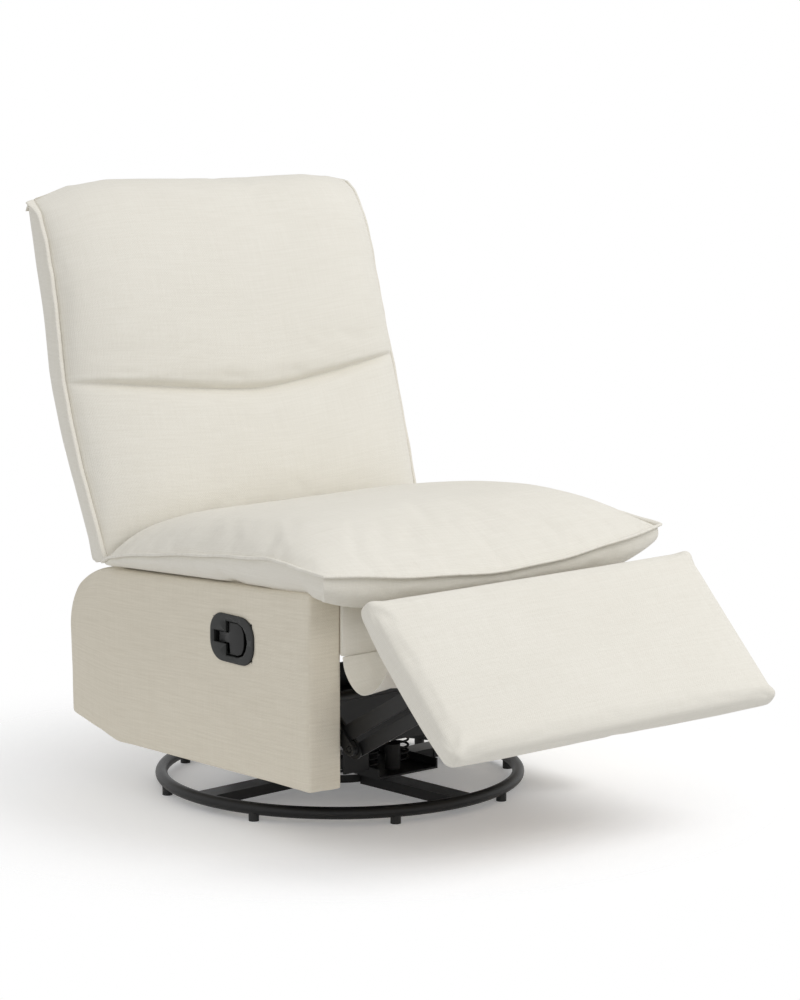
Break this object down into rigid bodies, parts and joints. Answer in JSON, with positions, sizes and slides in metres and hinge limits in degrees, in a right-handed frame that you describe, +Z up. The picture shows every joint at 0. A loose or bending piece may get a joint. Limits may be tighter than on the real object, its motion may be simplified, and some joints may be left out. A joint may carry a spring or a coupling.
{
  "type": "swivel rocker recliner",
  "caption": "Armless swivel rocker recliner in cream fabric: round steel base, rocking seat, reclining back, pull handle in the side and a raised linkage footrest.",
  "frame": {"origin": "on the floor under the middle of the swivel base, on the swivel axis", "axes": "+Z up; the chair faces -Y; the sitter's right hand, with the handle, is at -X"},
  "size_m": [0.66, 1.0189, 0.9206],
  "materials": {
    "black_steel": "satin black powder coat",
    "zinc_steel": "zinc plated",
    "black_plastic": "moulded matt",
    "black_rubber": "matt",
    "plywood": "raw plywood",
    "cream_fabric": "woven linen look over foam",
    "webbing": "woven elastic webbing"
  },
  "bodies": {
    "base": {"base_ring": "black_steel", "base_arms": "black_steel", "base_hub": "black_steel", "base_glides": "black_plastic", "swivel_lower_race": "zinc_steel"},
    "swivel": {"swivel_upper_race": "zinc_steel", "bearing_balls": "zinc_steel", "ball_cage": "black_plastic", "king_bolt": "zinc_steel", "rocker_cradle": "black_steel", "rocker_shaft": "zinc_steel", "rock_stops": "black_rubber", "rock_springs": "zinc_steel"},
    "seat": {"rocker_saddle": "black_steel", "shaft_bushings": "black_plastic", "cross_rail_front": "black_steel", "cross_rail_rear": "black_steel", "side_plate_left": "black_steel", "side_plate_right": "black_steel", "side_plate_bolts": "zinc_steel", "side_board_left": "plywood", "side_board_right": "plywood", "side_cover_left": "cream_fabric", "side_cover_right": "cream_fabric", "front_rail": "plywood", "rear_rail": "plywood", "front_rail_cover": "cream_fabric", "seat_springs": "zinc_steel", "spring_clips": "zinc_steel", "seat_cushion": "cream_fabric", "gap_cover": "cream_fabric", "recline_bolts": "zinc_steel", "control_link_pins": "zinc_steel", "handle_bezel": "black_plastic", "handle_pin": "zinc_steel", "handle_spring": "zinc_steel"},
    "backrest": {"back_upright_left": "plywood", "back_upright_right": "plywood", "back_top_rail": "plywood", "back_bottom_rail": "plywood", "back_straps": "webbing", "back_boxing": "cream_fabric", "outside_back": "cream_fabric", "back_brackets": "black_steel", "back_pad_lower": "cream_fabric", "back_pad_upper": "cream_fabric"},
    "drive_link": {"drive_links": "black_steel", "torque_tube": "black_steel", "footrest_crossbar": "black_steel", "drive_link_pins": "zinc_steel"},
    "extension_link": {"extension_links": "black_steel", "extension_link_pins": "zinc_steel"},
    "control_link": {"control_links": "black_steel"},
    "stay_link": {"stay_links": "black_steel"},
    "footrest": {"footrest_board": "plywood", "footrest_pad": "cream_fabric", "footrest_brackets": "black_steel", "footrest_pins": "zinc_steel"},
    "handle": {"handle_lever": "black_plastic"}
  },
  "joints": [
    {"name": "swivel_turn", "type": "hinge", "parent": "base", "child": "swivel", "pos_m": [0, 0, 0.036], "axis": [0, 0, 1], "continuous": true},
    {"name": "rock", "type": "hinge", "parent": "swivel", "child": "seat", "pos_m": [0, 0, 0.075], "axis": [1, 0, 0], "range_deg": [-8, 8], "stiffness_Nm_per_rad": 900, "deforming": ["rock_springs"]},
    {"name": "recline", "type": "hinge", "parent": "seat", "child": "backrest", "pos_m": [0, 0.173, 0.243], "axis": [-1, 0, 0], "range_deg": [0, 38]},
    {"name": "footrest_raise", "type": "hinge", "parent": "seat", "child": "drive_link", "pos_m": [0, -0.16, 0.283], "axis": [-1, 0, 0], "range_deg": [-46.16, 30], "deforming": ["gap_cover"]},
    {"name": "extension_fold", "type": "hinge", "parent": "drive_link", "child": "extension_link", "pos_m": [0, -0.30779, 0.16359], "axis": [-1, 0, 0], "range_deg": [-41.7, 64.1]},
    {"name": "footrest_tilt", "type": "hinge", "parent": "extension_link", "child": "footrest", "pos_m": [0, -0.47413, 0.25542], "axis": [-1, 0, 0], "range_deg": [-63, 41]},
    {"name": "control_swing", "type": "hinge", "parent": "seat", "child": "control_link", "pos_m": [0, -0.1999, 0.2528], "axis": [-1, 0, 0], "range_deg": [-50.5, 32.9]},
    {"name": "stay_swing", "type": "hinge", "parent": "drive_link", "child": "stay_link", "pos_m": [0, -0.33112, 0.14474], "axis": [-1, 0, 0], "range_deg": [-41.7, 64.1]},
    {"name": "handle_pull", "type": "hinge", "parent": "seat", "child": "handle", "pos_m": [-0.305, -0.109, 0.292], "axis": [0, 0, -1], "range_deg": [0, 40], "stiffness_Nm_per_rad": 0.5}
  ],
  "couplings": [
    {"joint": "extension_fold", "follows": "footrest_raise", "ratio": -1.3858},
    {"joint": "footrest_tilt", "follows": "footrest_raise", "ratio": 1.3606},
    {"joint": "control_swing", "follows": "footrest_raise", "ratio": 1.091},
    {"joint": "stay_swing", "follows": "footrest_raise", "ratio": -1.385}
  ]
}
